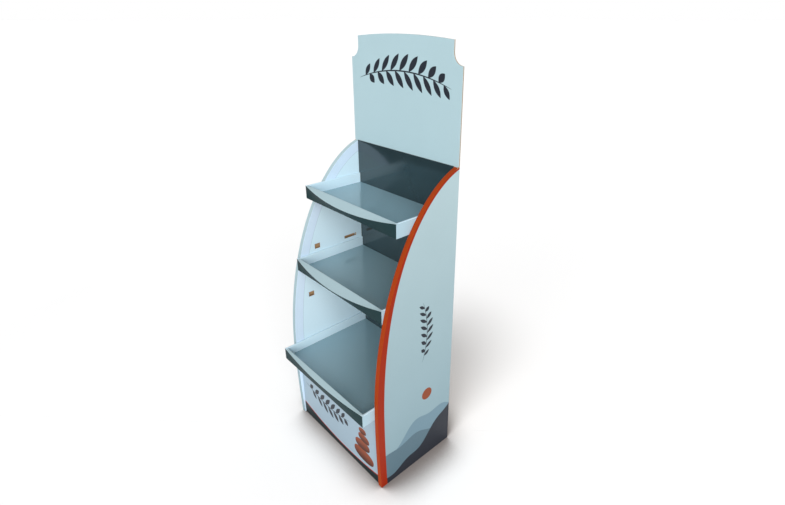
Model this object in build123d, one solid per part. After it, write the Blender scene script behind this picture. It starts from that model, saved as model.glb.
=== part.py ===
"""Floor display stand folded from printed corrugated board.

A tall back panel with a die-cut header carries two hollow wings with a bowed front edge.
Three trays with a curved front lip hang in slots of the wings, and a kick panel closes the foot.
Millimetres, +Z up, front towards -Y, origin at the middle of the footprint box on the floor.
"""
from build123d import *
from math import acos, degrees, sqrt
import os

# Boards
wing_board = 4.0
back_board = 4.0
liner_board = 3.0
tray_board = 3.0
kick_board = 3.0

# Whole stand
stand_width = 500.0

# Wings
wing_height = 1067.0
wing_depth = 335.0
wing_thickness = 17.0
belly_height = 310.0
foot_setback = 8.0
crown_rise = 12.0

# Header, over the top of the wings
shoulder_rise = 283.0
scoop_radius = 36.0
header_side = 31.0
header_crown = 10.0
header_seam = 0.5

# Glue flanges of the back panel
flange_depth = 28.0
flange_drop = 76.0
fold_radius = 2.0

# Trays: drop of the rim under the top of the wings, depth from the liner to the front corners,
# and how far the middle of the lip bows out and dips
trays = {
    "tray_top": {"drop": 121.0, "depth": 230.0, "bow": 22.0, "dip": 18.0},
    "tray_middle": {"drop": 380.0, "depth": 290.0, "bow": 22.0, "dip": 18.0},
    "tray_bottom": {"drop": 724.0, "depth": 376.0, "bow": 10.0, "dip": 10.0},
}
tray_well = 35.0
tray_wall = 46.0
tray_flange = 30.0
roll_gap = 1.0
roll_radius = 2.0
side_gap = 0.5
rear_gap = 0.3

# Lock tabs of the trays, and slots of the wings: width along Y, height
front_tab = (21.0, 18.0)
rear_tab = (54.0, 10.0)
tab_reach = 8.0
tab_rise = 6.0
tab_gap = 0.5
front_tab_setback = 70.0
rear_tab_setback = 60.0
spare_drops = (367.0, 552.0)

# Kick panel
kick_setback = 4.0
kick_flap = 40.0

# Where the sheets lie
wing_inner = stand_width / 2 - wing_thickness
lip_wall = 2 * tray_board + roll_gap
deepest_tray = max(tray["depth"] + tray["bow"] for tray in trays.values())
lowest_rim = wing_height - max(tray["drop"] for tray in trays.values())
stand_depth = back_board + liner_board + deepest_tray
rear = stand_depth / 2
back_face = rear - back_board
liner_face = back_face - liner_board
belly = rear - wing_depth
tray_half = wing_inner - side_gap

# The front edge of a wing is a quarter of an ellipse over the belly and a flat arc under it
ellipse_high = wing_height - belly_height + crown_rise
ellipse_deep = wing_depth / (1 - sqrt(1 - ((wing_height - belly_height) / ellipse_high) ** 2))
foot_arc = (belly_height**2 + foot_setback**2) / (2 * foot_setback)


def block(low, high):
    """Box between two opposite corners."""
    size = [b - a for a, b in zip(low, high)]
    middle = [(a + b) / 2 for a, b in zip(low, high)]
    return Pos(*middle) * Box(*size)


def mirrored(x, width):
    """Ends of a span that starts at x and runs outward by width, on the right and on the left."""
    return ((x, x + width), (-x - width, -x))


def wing_front(z):
    """Y of the front edge of a wing at height z."""
    if z > belly_height:
        return belly + ellipse_deep * (1 - sqrt(1 - ((z - belly_height) / ellipse_high) ** 2))
    return belly + foot_arc - sqrt(foot_arc**2 - (belly_height - z) ** 2)


def wing_profile(inset):
    """Side view of a wing, with its front edge moved in by inset."""
    centre = belly + ellipse_deep
    deep = ellipse_deep - inset
    high = ellipse_high - inset
    start = degrees(acos((rear - centre) / deep))
    crown = EllipticalCenterArc((centre, belly_height), deep, high, start, arc_size=180 - start)
    knee = (wing_front(belly_height / 2) + inset, belly_height / 2)
    foot = (wing_front(0) + inset, 0)
    shin = ThreePointArc(crown @ 1, knee, foot)
    outline = crown + shin + Polyline(foot, (rear, 0), crown @ 0)
    return make_face(Plane.YZ * outline)


def tab_rows():
    """Undersides of the slot rows: one for each tray, then the spare ones."""
    rows = [wing_height - tray["drop"] - tray_wall + tab_rise for tray in trays.values()]
    return rows + [wing_height - drop for drop in spare_drops]


def tab_places(z):
    """Middle along Y, width and height of the front and the rear tab of the row at height z."""
    return (
        (wing_front(z) + front_tab_setback, *front_tab),
        (rear - rear_tab_setback, *rear_tab),
    )


def make_wing():
    """Right wing: hollow, with its foot and its back open, and slots in its inner wall."""
    outer_wall = stand_width / 2 - wing_board
    body = Pos(wing_inner, 0, 0) * extrude(wing_profile(0), wing_thickness, dir=(1, 0, 0))
    hollow = extrude(wing_profile(wing_board), wing_thickness - 2 * wing_board, dir=(1, 0, 0))
    body -= Pos(wing_inner + wing_board, 0, 0) * hollow
    body -= block((0, back_face, 0), (outer_wall, rear, wing_height))
    for z in tab_rows():
        for y, width, height in tab_places(z):
            side = width / 2 + tab_gap
            body -= block((0, y - side, z), (wing_inner + wing_board, y + side, z + height + tab_gap))
    return body


def make_back_panel():
    """Back sheet with its header, and a flange folded forward inside each wing."""
    half = stand_width / 2
    neck = half - wing_board
    seam = wing_height + header_seam
    inner = half - scoop_radius
    shoulder = wing_height + shoulder_rise
    scoop_top = shoulder + scoop_radius
    crown_base = scoop_top + header_side
    scoop = RadiusArc((half, shoulder), (inner, scoop_top), scoop_radius)
    crown = ThreePointArc((inner, crown_base), (0, crown_base + header_crown), (-inner, crown_base))
    foot = Polyline((-half, shoulder), (-half, seam), (-neck, seam), (-neck, 0))
    foot += Polyline((-neck, 0), (neck, 0), (neck, seam), (half, seam), (half, shoulder))
    outline = foot + scoop + Line((inner, scoop_top), (inner, crown_base)) + crown
    outline += Line((-inner, crown_base), (-inner, scoop_top)) + mirror(scoop, Plane.YZ)
    sheet = Pos(0, rear, 0) * extrude(Plane.XZ * make_face(outline), back_board)
    for low, high in mirrored(neck - back_board, back_board):
        flange_front = (low, back_face - flange_depth, 0)
        sheet += block(flange_front, (high, back_face, wing_height - flange_drop))
    corners = [e for e in sheet.edges().filter_by(Axis.Z) if abs(e.center().Y - rear) < fold_radius]
    folds = [e for e in corners if abs(abs(e.center().X) - neck) < fold_radius]
    return fillet(folds, fold_radius)


def make_liner():
    """Dark sheet on the front of the back panel, between the wings."""
    half = wing_inner - side_gap
    return block((-half, liner_face, 0), (half, back_face, wing_height))


def lip_prism(front, inner, low, high, half, middle):
    """Lip from its front plane to its inner plane: a bowed ridge through middle over a straight foot."""
    foot = Edge.make_line((-half, front, low), (half, front, low))
    heel = Edge.make_line((-half, inner, low), (half, inner, low))
    crest = Edge.make_line((-half, inner, high), (half, inner, high))
    ridge = Edge.make_three_point_arc((-half, front, high), middle, (half, front, high))
    flats = (
        [foot @ 0, foot @ 1, heel @ 1, heel @ 0],
        [crest @ 0, crest @ 1, heel @ 1, heel @ 0],
        [foot @ 0, ridge @ 0, crest @ 0, heel @ 0],
        [foot @ 1, ridge @ 1, crest @ 1, heel @ 1],
    )
    faces = [Face(Wire.make_polygon(corners)) for corners in flats]
    faces.append(Face.make_surface_from_curves(foot, ridge))
    faces.append(Face.make_surface_from_curves(crest, ridge))
    return Solid(Shell(faces))


def make_tray(rim, depth, bow, dip):
    """Tray of one sheet: walls folded up and rolled over to hang past the floor, hollow bowed lip."""
    front = liner_face - depth
    inner = front + lip_wall
    back = liner_face - rear_gap
    low = rim - tray_wall
    floor = rim - tray_well
    under = floor - tray_board
    outer_wall = tray_half - tray_board
    fold = outer_wall - roll_gap
    well_half = fold - tray_board
    tray = block((-tray_half, inner, low), (tray_half, back, rim))
    tray -= block((-well_half, inner, floor), (well_half, back, rim))
    tray -= block((-outer_wall, inner, low), (outer_wall, back, under))
    for low_x, high_x in mirrored(fold, roll_gap):
        tray -= block((low_x, inner, under), (high_x, back, rim - tray_board))
    long_edges = [e for e in tray.edges().filter_by(Axis.Y) if e.length > tray_wall]
    rolls = [e for e in long_edges if abs(e.center().Z - rim) < roll_radius]
    inside = [e for e in long_edges if abs(e.center().X) < outer_wall]
    rolls += [e for e in inside if abs(e.center().Z - under) < roll_radius]
    tray = fillet(rolls, roll_radius)
    tray += block((-fold, back - tray_board, under - tray_flange), (fold, back, floor))
    ridge = Vector(0, front - bow, rim - dip)
    tray += lip_prism(front, inner, low, rim, tray_half, ridge)
    ridge += Vector(0, tray_board, -tray_board)
    lid = rim - tray_board
    tray -= lip_prism(front + tray_board, inner - tray_board, low, lid, outer_wall, ridge)
    tray -= block((-outer_wall, inner - tray_board, low), (outer_wall, inner, under))
    row = low + tab_rise
    for y, width, height in tab_places(row):
        for low_x, high_x in mirrored(outer_wall, tray_board + tab_reach):
            tray += block((low_x, y - width / 2, row), (high_x, y + width / 2, row + height))
    return tray


def make_kick_panel():
    """Front of the foot: side flaps along the wings, and a top flap under the bottom tray."""
    front = wing_front(0) + kick_setback
    back = front + kick_flap
    top = lowest_rim - tray_wall
    inner_half = tray_half - kick_board
    panel = block((-tray_half, front, 0), (tray_half, back, top))
    panel -= block((-inner_half, front + kick_board, 0), (inner_half, back, top - kick_board))
    folds = panel.edges().filter_by(Axis.Z).sort_by(Axis.Y)[:2]
    folds += [panel.edges().filter_by(Axis.X).group_by(Axis.Z)[-1].sort_by(Axis.Y)[0]]
    return fillet(folds, fold_radius)


right_wing = make_wing()
sheets = {
    "back_panel": make_back_panel(),
    "back_liner": make_liner(),
    "right_wing": right_wing,
    "left_wing": mirror(right_wing, Plane.YZ),
    "kick_panel": make_kick_panel(),
}
for name, tray in trays.items():
    sheets[name] = make_tray(wing_height - tray["drop"], tray["depth"], tray["bow"], tray["dip"])

os.makedirs("parts", exist_ok=True)
for name, sheet in sheets.items():
    export_step(sheet, f"parts/{name}.step")
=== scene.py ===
import math

import bmesh
import bpy
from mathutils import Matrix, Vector


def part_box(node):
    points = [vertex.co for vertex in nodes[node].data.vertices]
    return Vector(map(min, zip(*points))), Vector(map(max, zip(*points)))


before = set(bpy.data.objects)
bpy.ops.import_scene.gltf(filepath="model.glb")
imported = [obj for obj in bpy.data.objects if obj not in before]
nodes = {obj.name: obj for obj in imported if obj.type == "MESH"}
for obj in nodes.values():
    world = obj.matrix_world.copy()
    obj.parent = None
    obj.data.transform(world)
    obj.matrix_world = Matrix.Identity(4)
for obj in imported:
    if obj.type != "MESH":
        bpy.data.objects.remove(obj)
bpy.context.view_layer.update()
print("frame loaded:", ", ".join(sorted(nodes)))


def tint(red, green, blue):  # a colour as a picker shows it, 0 to 255, made linear
    return tuple(((part / 255 + 0.055) / 1.055) ** 2.4 for part in (red, green, blue)) + (1.0,)


class Wire:  # one socket of a material's nodes, for sums written as plain expressions
    def __init__(self, tree, socket):
        self.tree = tree
        self.socket = socket

    def add(self, kind, settings, values, output=0):
        node = self.tree.nodes.new("ShaderNode" + kind)
        for key, value in settings.items():
            setattr(node, key, value)
        for key, value in values.items():
            if isinstance(value, Wire):
                self.tree.links.new(value.socket, node.inputs[key])
            else:
                node.inputs[key].default_value = value
        return Wire(self.tree, node.outputs[output]) if node.outputs else None

    def math(self, operation, *others):
        return self.add("Math", {"operation": operation}, dict(enumerate((self, *others))))

    def __add__(self, other):
        return self.math("ADD", other)

    def __sub__(self, other):
        return self.math("SUBTRACT", other)

    def __rsub__(self, other):
        return self.add("Math", {"operation": "SUBTRACT"}, {0: other, 1: self})

    def __mul__(self, other):
        return self.math("MULTIPLY", other)

    def __truediv__(self, other):
        return self.math("DIVIDE", other)

    __radd__ = __add__
    __rmul__ = __mul__

    def rise(self, low, high):  # 0 at low, 1 at high, smooth between them
        ends = {"Value": self, "From Min": low, "From Max": high}
        return self.add("MapRange", {"interpolation_type": "SMOOTHSTEP"}, ends)

    def over(self, ground, ink):  # this mask lays ink on the ground colour
        return self.add("Mix", {"data_type": "RGBA"}, {0: self, 6: ground, 7: ink}, 2)


inks = {
    # footShadeBlue and wingTopBlue: painted shade, the wing's ground darkening from its top down to
    # its foot
    "footShadeBlue": tint(133, 160, 170),
    "wingTopBlue": tint(175, 197, 202),
    "sky": tint(170, 196, 203),
    "side": tint(172, 199, 211),
    "white": tint(212, 237, 249),
    "hem": tint(212, 232, 250),
    "frost": tint(152, 173, 187),
    "crest": tint(168, 192, 199),
    "grey": tint(144, 178, 191),
    "slate": tint(38, 55, 60),
    "lip": tint(34, 56, 59),
    "orange": tint(158, 60, 20),
    # orange and rust are one printed orange; rust is its copy with painted shade, for the side face's
    # border
    "orangeInShade": tint(152, 38, 2),
    "red": tint(176, 52, 34),
    "charcoal": tint(44, 48, 56),
    "steel": tint(92, 116, 128),
    # painted shadow along the hem's edge
    "hemShadowInk": tint(140, 168, 180),
    "haze": tint(114, 142, 156),
    "brown": tint(138, 70, 44),
    "umber": tint(76, 40, 28),
    "ebony": tint(20, 35, 38),
    "kraft": tint(190, 154, 114),
    # painted shade in the hollows of a cut edge
    "fluteHollowShade": tint(146, 116, 84),
    "paper": tint(206, 204, 194),
}
board = {
    "pitch": 0.0072,  # from one flute to the next
    "mottleScale": 7.0, "waveScale": 9.0, "smearScale": 30.0, "smear": 0.08,
    "fibreScale": 420.0, "fibreStretch": (1, 1, 0.25),
    "relief": 0.001, "edgeRadius": 0.0012,
}
rawEdge = {"swing": 0.6, "sheet": 0.26, "blur": 0.06, "faceFrom": (0.50, 0.60)}  # of half the edge
crisp = 0.0004  # half the blur at the rim of a printed shape
printed = {"waves": 0.14, "mottle": 0.06, "fleck": 0.04}
film = {**printed, "rough": 0.3, "ior": 1.2, "ribs": 0.004}  # header, wings, kick panel, tray walls
gloss = {**printed, "rough": 0.14, "ior": 1.75, "ribs": 0.003}  # dark liner
glaze = {**printed, "rough": 0.14, "ior": 1.9, "ribs": 0.003}  # tray floors
matt = {**printed, "rough": 0.45, "ior": 1.12, "ribs": 0.004}  # orange fold and dark lips
bare = {"rough": 0.82, "ior": 1.4, "ribs": 0.05, "waves": 0.2, "mottle": 0.16, "fleck": 0.3}


def startSheet(name):  # an empty material, and the place on the piece as x, y and z
    material = bpy.data.materials.new(name)
    material.use_nodes = True
    material.node_tree.nodes.clear()
    place = Wire(material.node_tree, None).add("TexCoord", {}, {}, "Object")
    return material, place, [place.add("SeparateXYZ", {}, {0: place}, axis) for axis in "XYZ"]


def grain(place, scale, detail=2.0):  # soft noise about 0
    return place.add("TexNoise", {}, {"Vector": place, "Scale": scale, "Detail": detail}, 0) - 0.5


def flutes(across):  # -1 to 1 over the flutes of the board
    return (across * (2 * math.pi / board["pitch"])).math("SINE")


def inked(inside):  # mask of a printed shape, from the distance inside its rim
    return inside.rise(-crisp, crisp)


def finishSheet(material, place, colour, across, look):  # film or bare board over the colour
    fibres = place.add("Mapping", {}, {"Vector": place, "Scale": board["fibreStretch"]})
    mottle = 1 + grain(place, board["mottleScale"]) * look["mottle"]
    mottle = mottle + grain(fibres, board["fibreScale"]) * look["fleck"]
    tone = place.add("CombineColor", {}, {0: mottle, 1: mottle, 2: mottle})
    mixed = {"data_type": "RGBA", "blend_type": "MULTIPLY"}
    shade = place.add("Mix", mixed, {0: 1.0, 6: colour, 7: tone}, 2)
    height = flutes(across) * look["ribs"] + grain(place, board["waveScale"]) * look["waves"]
    soft = place.add("Bevel", {"samples": 4}, {"Radius": board["edgeRadius"]})
    lift = {"Strength": 1.0, "Distance": board["relief"], "Height": height, "Normal": soft}
    bump = place.add("Bump", {}, lift)
    rough = look["rough"] + grain(place, board["smearScale"], 4.0) * board["smear"]
    parts = {"Base Color": shade, "Roughness": rough, "IOR": look["ior"], "Normal": bump}
    surface = place.add("BsdfPrincipled", {}, parts)
    place.add("OutputMaterial", {}, {"Surface": surface})
    return material


def plainSheet(name, ink, across, look):  # one ink all over, flutes counted along the named axis
    material, place, axes = startSheet(name)
    return finishSheet(material, place, inks[ink], axes["XYZ".index(across)], look)


def cutEdge(name, through, along, middle, thickness, face):  # waved sheet between two faces, with painted shade in the hollows of the flutes
    material, place, axes = startSheet(name)
    depth = (axes["XYZ".index(through)].math("ABSOLUTE") - middle) / (thickness / 2)
    run = axes["XYZ".index(along)]
    off = (depth - flutes(run) * rawEdge["swing"]).math("ABSOLUTE")
    waved = (rawEdge["sheet"] - off).rise(-rawEdge["blur"], rawEdge["blur"])
    # painted shade: the hollows between the liners and the waved sheet are darker
    colour = waved.over(inks["fluteHollowShade"], inks["kraft"])
    colour = depth.math("ABSOLUTE").rise(*rawEdge["faceFrom"]).over(colour, inks[face])
    return finishSheet(material, place, colour, run, bare)


def sprig(along, across, shape):  # a stem with slanted leaves on both sides
    half = shape["length"] / 2
    part = along / half
    taper = (1 - part * part).math("MAXIMUM", 0.0)
    offset = across - taper * shape["arch"]
    away = offset.math("ABSOLUTE")
    shifted = along + offset.math("SIGN") * (shape["pitch"] / 4)
    local = shifted.math("FLOORED_MODULO", shape["pitch"])
    root = (shifted - local) / half
    slant = math.radians(shape["slant"])
    down = local * math.cos(slant) + away * math.sin(slant)
    side = (away * math.cos(slant) - local * math.sin(slant)).math("ABSOLUTE")
    reach = (1 - root * root * 0.6) * shape["leaf"]  # leaves get smaller towards both ends
    middle = down / reach * 2 - 1
    leaf = inked((1 - middle * middle) * shape["width"] - side)
    stem = inked(shape["stem"] * taper.math("SQRT") - away) * inked(half - along.math("ABSOLUTE"))
    whole = inked(1 - 0.6 * shape["pitch"] / half - root.math("ABSOLUTE"))  # no leaf is cut at an end
    return (leaf * whole).math("MAXIMUM", stem)


def spot(along, up, shape):  # a disc or stone: its mask, and its height from -1 at the foot to 1
    tilt = math.radians(shape["tilt"])
    left = along - shape["at"][0]
    rise = up - shape["at"][1]
    major = (left * math.cos(tilt) + rise * math.sin(tilt)) / shape["half"][0]
    minor = (rise * math.cos(tilt) - left * math.sin(tilt)) / shape["half"][1]
    bulge = [part.math("ABSOLUTE").math("POWER", shape["power"]) for part in (major, minor)]
    return (1 - bulge[0] - bulge[1]).rise(-0.02, 0.02), minor


wing = {
    "bellyHeight": 0.310, "crownRise": 0.012, "footSetback": 0.008,
    "board": 0.004, "borderTop": 0.006, "borderFoot": 0.027, "borderNarrows": (0.35, 1.0),
    "hem": 0.036, "hemShadowWidth": 0.0011, "hemShade": 0.5,
    "sprig": {"length": 0.23, "pitch": 0.028, "leaf": 0.036, "width": 0.0062,
              "slant": 52, "stem": 0.0013, "arch": 0.02},
    "sprigAt": (0.054, 0.545),
    "hills": (
        ("haze", 0.165, 0.10, ((0.030, 17.0, 0.4), (0.012, 41.0, 1.0))),
        ("steel", 0.120, 0.20, ((0.030, 13.0, 2.6), (0.010, 37.0, 0.2))),
        ("charcoal", 0.070, 0.45, ((0.024, 15.0, 4.4), (0.008, 47.0, 2.2))),
    ),
    "sun": {"at": (0.079, 0.285), "half": (0.023, 0.023), "tilt": 0, "power": 2.0},
}


def frontDistance(y, z):  # how far a point of a wing lies behind its bowed front edge
    low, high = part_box("right_wing")
    rise = high.z - wing["bellyHeight"] + wing["crownRise"]
    share = (high.z - wing["bellyHeight"]) / rise
    deep = (high.y - low.y) / (1 - math.sqrt(1 - share * share))
    above = (z - wing["bellyHeight"]).math("MAXIMUM", 0.0) / rise
    behind = (y - (low.y + deep)) / deep
    slope = ((behind / deep).math("POWER", 2.0) + (above / rise).math("POWER", 2.0)).math("SQRT")
    below = ((wing["bellyHeight"] - z) / wing["bellyHeight"]).math("MAXIMUM", 0.0)
    bow = (1 - behind * behind - above * above) / slope * 0.5
    return bow - below * below * wing["footSetback"]


def wingGroundShadedToFoot(z):  # the printed ground, with painted shade that darkens it towards the foot
    return (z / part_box("right_wing")[1].z).over(inks["footShadeBlue"], inks["wingTopBlue"])


def wingPlain():  # left-hand outer face
    material, place, (x, y, z) = startSheet("wingPlain")
    # painted shade: the ground darkens towards the foot
    return finishSheet(material, place, wingGroundShadedToFoot(z), y, film)


def wingOutside():  # right-hand outer face: border along the curve, a sprig, hills at the foot
    material, place, (x, y, z) = startSheet("wingOutside")
    # painted shade: the ground darkens towards the foot
    colour = wingGroundShadedToFoot(z)
    stem = sprig(z - wing["sprigAt"][1], y - wing["sprigAt"][0], wing["sprig"])
    colour = stem.over(colour, inks["charcoal"])
    colour = spot(y, z, wing["sun"])[0].over(colour, inks["brown"])
    for ink, height, lean, waves in wing["hills"]:
        crest = y * lean + height
        for swing, pace, phase in waves:
            crest = (y * pace + phase).math("SINE") * swing + crest
        colour = inked(crest - z).over(colour, inks[ink])
    narrowing = z.rise(*wing["borderNarrows"])
    border = narrowing * (wing["borderTop"] - wing["borderFoot"]) + wing["borderFoot"]
    # painted shade: the border on the side face is a darker copy of the fold's orange
    colour = inked(border - frontDistance(y, z)).over(colour, inks["orangeInShade"])
    return finishSheet(material, place, colour, y, film)


def wingInside():  # inner face: the turned-in hem shows as a lighter strip along the curve, edged by a line of painted shadow
    material, place, (x, y, z) = startSheet("wingInside")
    reach = frontDistance(y, z)
    inHem = wing["hem"] - reach
    colour = inked(inHem).over(inks["white"], inks["hem"])
    # painted shadow: a darker line along the hem's raised inner edge
    line = (wing["hemShadowWidth"] - inHem.math("ABSOLUTE")).rise(0.0, 2 * crisp)
    colour = (line * wing["hemShade"]).over(colour, inks["hemShadowInk"])
    return finishSheet(material, place, colour, y, film)


header = {
    "sprig": {"length": 0.42, "pitch": 0.042, "leaf": 0.066, "width": 0.0105,
              "slant": 52, "stem": 0.0022, "arch": 0.035},
    "sprigAt": (0.0, 1.285),
}


def headerFront():  # plain ground with one wide sprig
    material, place, (x, y, z) = startSheet("headerFront")
    mask = sprig(x - header["sprigAt"][0], z - header["sprigAt"][1], header["sprig"])
    return finishSheet(material, place, mask.over(inks["sky"], inks["charcoal"]), x, film)


kick = {
    "band": (0.0555, 0.0185, 0.036), "bandAt": (-0.2325, 0.05, 0.2325), "line": 0.0035,
    "sprig": {"length": 0.28, "pitch": 0.034, "leaf": 0.05, "width": 0.0085,
              "slant": 50, "stem": 0.0018, "arch": -0.022},
    "sprigAt": (-0.07, 0.165),
    "stones": (
        {"at": (0.150, 0.068), "half": (0.054, 0.026), "tilt": -3, "power": 2.4},
        {"at": (0.144, 0.112), "half": (0.040, 0.021), "tilt": 5, "power": 2.4},
        {"at": (0.153, 0.147), "half": (0.030, 0.017), "tilt": -4, "power": 2.4},
        {"at": (0.147, 0.176), "half": (0.020, 0.013), "tilt": 8, "power": 2.4},
    ),
}


def kickFront():  # dark foot band with a hollow curve and a red line, a sprig and stacked stones
    material, place, (x, y, z) = startSheet("kickFront")
    colour = inks["frost"]
    mask = sprig(x - kick["sprigAt"][0], z - kick["sprigAt"][1], kick["sprig"])
    colour = mask.over(colour, inks["charcoal"])
    for stone in kick["stones"]:
        mask, height = spot(x, z, stone)
        body = height.rise(-0.9, 0.8).over(inks["umber"], inks["brown"])
        colour = mask.over(colour, body)
    crest = 0.0  # top of the band, a parabola through three heights
    for here, height in zip(kick["bandAt"], kick["band"]):
        others = [at for at in kick["bandAt"] if at != here]
        scale = height / ((here - others[0]) * (here - others[1]))
        crest = (x - others[0]) * (x - others[1]) * scale + crest
    colour = inked(crest + kick["line"] - z).over(colour, inks["red"])
    colour = inked(crest - z).over(colour, inks["ebony"])
    return finishSheet(material, place, colour, x, film)


finishes = {
    "header": headerFront(),
    "wingOutside": wingOutside(),
    "wingInside": wingInside(),
    "orangeFold": plainSheet("orangeFold", "orange", "Z", matt),
    "wingPlain": wingPlain(),
    "trayCrest": plainSheet("trayCrest", "crest", "X", film),
    "traySide": plainSheet("traySide", "side", "Y", film),
    "kick": kickFront(),
    "liner": plainSheet("liner", "slate", "X", gloss),
    "trayWhite": plainSheet("trayWhite", "white", "X", film),
    "trayFloor": plainSheet("trayFloor", "grey", "X", glaze),
    "trayLip": plainSheet("trayLip", "lip", "X", matt),
    "kraft": plainSheet("kraft", "kraft", "X", bare),
    "kraftSide": plainSheet("kraftSide", "kraft", "Y", bare),
    "backEdge": cutEdge("backEdge", "Y", "X", 0.1945, 0.004, "paper"),
    "linerEdge": cutEdge("linerEdge", "Y", "X", 0.1910, 0.003, "kraft"),
    "wingEdge": cutEdge("wingEdge", "X", "Y", 0.2480, 0.004, "paper"),
    "slotEdge": cutEdge("slotEdge", "X", "Y", 0.2350, 0.004, "kraft"),
    "kickEdge": cutEdge("kickEdge", "Y", "X", 0.1250, 0.003, "paper"),
}
print("finishes ready:", len(finishes))


skin = 0.0005  # a face this near to a plane lies in it
softEdge = {"radius": 0.001, "steps": 2, "sharp": 40, "merge": 0.00001}


def softenEdges(piece):  # cutting and folding press the edges of the board round
    piece.modifiers.new("weld", "WELD").merge_threshold = softEdge["merge"]
    rounding = piece.modifiers.new("rounding", "BEVEL")
    rounding.width = softEdge["radius"]
    rounding.segments = softEdge["steps"]
    rounding.limit_method = "ANGLE"
    rounding.angle_limit = math.radians(softEdge["sharp"])
    rounding.profile = 0.5
    rounding.material = -1
    piece.modifiers.new("even", "WEIGHTED_NORMAL").weight = 100  # large flat faces stay flat


def dress(name, choose):  # each face of a node gets the finish that choose names
    piece = nodes[name]
    piece.data.materials.clear()
    used = []
    for face in piece.data.polygons:
        finish = choose(face.normal, face.center)
        if finish not in used:
            used.append(finish)
            piece.data.materials.append(finishes[finish])
        face.material_index = used.index(finish)
    softenEdges(piece)
    print("dressed", name, "with", ", ".join(used))


def backFinish(normal, at):
    if abs(normal.y) < 0.9:
        return "backEdge"
    return "header" if normal.y < 0 else "kraft"


def linerFinish(normal, at):
    return "liner" if normal.y < -0.9 or normal.z > 0.9 else "linerEdge"


def wingFinish(side):  # side is 1 for the right-hand wing and -1 for the left-hand one
    low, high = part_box("right_wing")
    inside, outside = low.x + wing["board"], high.x - wing["board"]

    def choose(normal, at):
        reach, out = at.x * side, normal.x * side
        along = abs(out) < 0.1
        if out > 0.9 and reach > high.x - skin:
            return "wingOutside" if side > 0 else "wingPlain"
        if out < -0.9 and reach < low.x + skin:
            return "wingInside"
        onStrip = inside + skin < reach < outside - skin and (normal.y < -0.05 or normal.z > 0.3)
        if along and onStrip:
            return "orangeFold" if side > 0 else "wingPlain"
        if along and reach < inside:
            return "slotEdge"
        onCut = at.z < skin or at.y > high.y - skin
        return "wingEdge" if along and onCut else "kraftSide"

    return choose


trayShape = {
    "well": 0.035, "lip": 0.007, "half": 0.2325, "roll": 0.0025,
    "hairline": 0.0001, "lipBoard": 0.005,  # crest and lip lie farther than this from the inner wall
}
trayBows = {"tray_top": 0.022, "tray_middle": 0.022, "tray_bottom": 0.010}


def trayFinish(name):
    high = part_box(name)[1]
    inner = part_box(name)[0].y + trayBows[name] + trayShape["lip"]
    floor = high.z - trayShape["well"]
    wellHalf = trayShape["half"] - trayShape["lip"]

    def choose(normal, at):
        across = abs(at.x)
        if normal.y < -0.1 and normal.z > 0.1 and at.y < inner - trayShape["hairline"]:
            return "trayCrest"
        if normal.y < -0.1 and at.y < inner - trayShape["lipBoard"]:
            return "trayLip"
        if abs(normal.x) > 0.9 and abs(across - trayShape["half"]) < skin:
            return "traySide"
        if normal.z > 0.9 and abs(at.z - floor) < skin:
            return "trayFloor"
        inWell = across < wellHalf + skin and at.y > inner - skin and at.z > floor
        onRim = normal.z > 0.1 and at.z > high.z - trayShape["roll"]
        return "trayWhite" if inWell or onRim else "kraft"

    return choose


def kickFinish(normal, at):
    if normal.y < -0.3:
        return "kick"
    return "kickEdge" if at.z < skin else "kraft"


dress("back_panel", backFinish)
dress("back_liner", linerFinish)
dress("right_wing", wingFinish(1))
dress("left_wing", wingFinish(-1))
for tray in trayBows:
    dress(tray, trayFinish(tray))
dress("kick_panel", kickFinish)

stage = {
    "floor": tint(228, 228, 228), "floorBounce": tint(179, 179, 179), "floorSize": 400.0,
    "sky": 1.0, "ambient": 0.48,
    "suns": (
        {"strength": 1.85, "from": (1.9, -1.1, 0.8), "spread": 40},
        {"strength": 1.35, "from": (0.5, -1.9, 0.4), "spread": 40},
        {"strength": 1.95, "from": (0.36, -0.93, 2.0), "spread": 20, "floorOnly": True},
    ),
    "curtain": {"radius": 2.1, "height": 2.0, "front": -0.35},
    "curtainInk": tint(30, 32, 34),
    "contact": 0.16, "contactRange": (0.44, 0.99), "contactShade": tint(112, 105, 102),
    "contactLean": (-0.17, -0.17, 0.97),  # less shadow on the left of the picture
}


def stagePiece(name, shape):
    mesh = bpy.data.meshes.new(name)
    shape.to_mesh(mesh)
    shape.free()
    piece = bpy.data.objects.new(name, mesh)
    bpy.context.scene.collection.objects.link(piece)
    return piece


def makeFloor(size):
    shape = bmesh.new()
    bmesh.ops.create_grid(shape, x_segments=1, y_segments=1, size=size / 2)
    return stagePiece("floor", shape)


def makeCurtain(cloth):  # dark half round behind the camera, which only reflections see
    shape = bmesh.new()
    ring = {"radius1": cloth["radius"], "radius2": cloth["radius"], "depth": cloth["height"]}
    bmesh.ops.create_cone(shape, cap_ends=False, segments=64, **ring)
    bmesh.ops.translate(shape, vec=(0, 0, cloth["height"] / 2), verts=shape.verts)
    behind = [corner for corner in shape.verts if corner.co.y > cloth["front"]]
    bmesh.ops.delete(shape, geom=behind, context="VERTS")
    return stagePiece("darkCurtain", shape)


def plainMaterial(name, colour, rough):
    material = bpy.data.materials.new(name)
    material.use_nodes = True
    surface = material.node_tree.nodes["Principled BSDF"]
    surface.inputs["Base Color"].default_value = colour
    surface.inputs["Roughness"].default_value = rough
    return material


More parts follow.
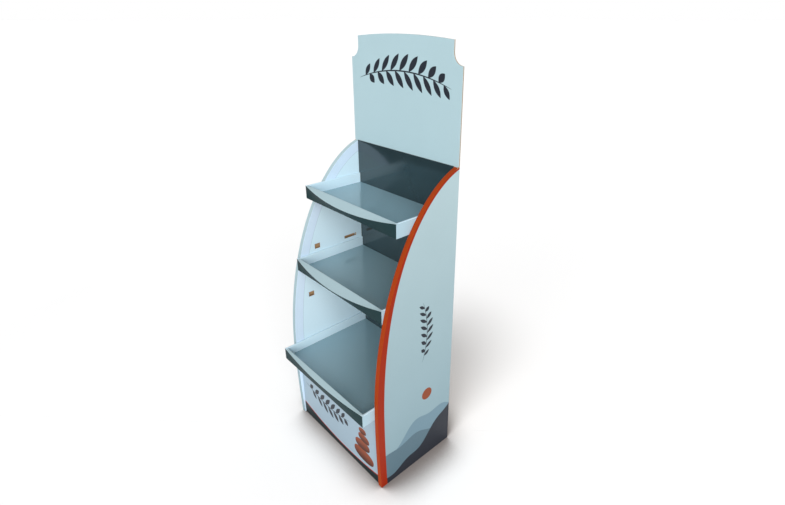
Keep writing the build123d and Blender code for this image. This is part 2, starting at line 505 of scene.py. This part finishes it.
def paleFloor():  # seen directly or in a reflection the floor is white, and its bounce stays low
    material = plainMaterial("paleFloor", stage["floor"], 0.7)
    tree = material.node_tree
    body = Wire(tree, tree.nodes["Principled BSDF"].outputs[0])
    lean = body.add("CombineXYZ", {}, dict(enumerate(stage["contactLean"])))
    reach = {"Distance": stage["contact"], "Normal": lean}
    # painted shadow: the floor's colour darkens towards contactShade where the stand is near, from
    # ambient occlusion
    near = body.add("AmbientOcclusion", {"samples": 16}, reach, "AO")
    clear = near.rise(*stage["contactRange"])
    ground = seenRays(body).over(stage["floorBounce"], stage["floor"])
    colour = clear.over(stage["contactShade"], ground)
    tree.links.new(colour.socket, tree.nodes["Principled BSDF"].inputs["Base Color"])
    return material


def seenRays(start):
    rays = [start.add("LightPath", {}, {}, ray) for ray in
            ("Is Camera Ray", "Is Glossy Ray", "Is Transmission Ray")]
    return (rays[0] + rays[1] + rays[2]).math("MINIMUM", 1.0)


floor = makeFloor(stage["floorSize"])
floor.data.materials.append(paleFloor())
curtain = makeCurtain(stage["curtain"])
curtain.data.materials.append(plainMaterial("darkCloth", stage["curtainInk"], 0.9))
curtain.visible_camera = curtain.visible_diffuse = curtain.visible_shadow = False

world = bpy.data.worlds.new("studio")
bpy.context.scene.world = world
world.use_nodes = True
world.node_tree.nodes.clear()
sight = Wire(world.node_tree, None)
strength = seenRays(sight) * (stage["sky"] - stage["ambient"]) + stage["ambient"]
light = sight.add("Background", {}, {"Color": (1, 1, 1, 1), "Strength": strength})
sight.add("OutputWorld", {}, {"Surface": light})

for sun in stage["suns"]:
    lamp = bpy.data.objects.new("softSun", bpy.data.lights.new("softSun", "SUN"))
    lamp.data.energy = sun["strength"]
    lamp.data.angle = math.radians(sun["spread"])
    lamp.rotation_euler = Vector(sun["from"]).to_track_quat("Z", "Y").to_euler()
    bpy.context.scene.collection.objects.link(lamp)
    if sun.get("floorOnly"):
        lamp.light_linking.receiver_collection = bpy.data.collections.new("floorOnly")
        lamp.light_linking.receiver_collection.objects.link(floor)

view = {
    "at": (1.1696, -0.8699, 1.4744), "azimuth": 47.364, "elevation": 23.781,
    "focus": 489.49, "centre": (405.0, 232.0), "frame": (785, 505),
}
turn, tip = math.radians(view["azimuth"]), math.radians(view["elevation"])
towards = Vector((-math.sin(turn) * math.cos(tip), math.cos(turn) * math.cos(tip), -math.sin(tip)))
camera = bpy.data.objects.new("camera", bpy.data.cameras.new("camera"))
camera.location = view["at"]
camera.rotation_euler = towards.to_track_quat("-Z", "Y").to_euler()
camera.data.sensor_width = 36.0
camera.data.lens = view["focus"] * camera.data.sensor_width / view["frame"][0]
camera.data.shift_x = (view["frame"][0] / 2 - view["centre"][0]) / view["frame"][0]
camera.data.shift_y = (view["centre"][1] - view["frame"][1] / 2) / view["frame"][0]
bpy.context.scene.collection.objects.link(camera)
bpy.context.scene.camera = camera
bpy.context.scene.view_settings.view_transform = "Standard"
print("stage, light and camera set")
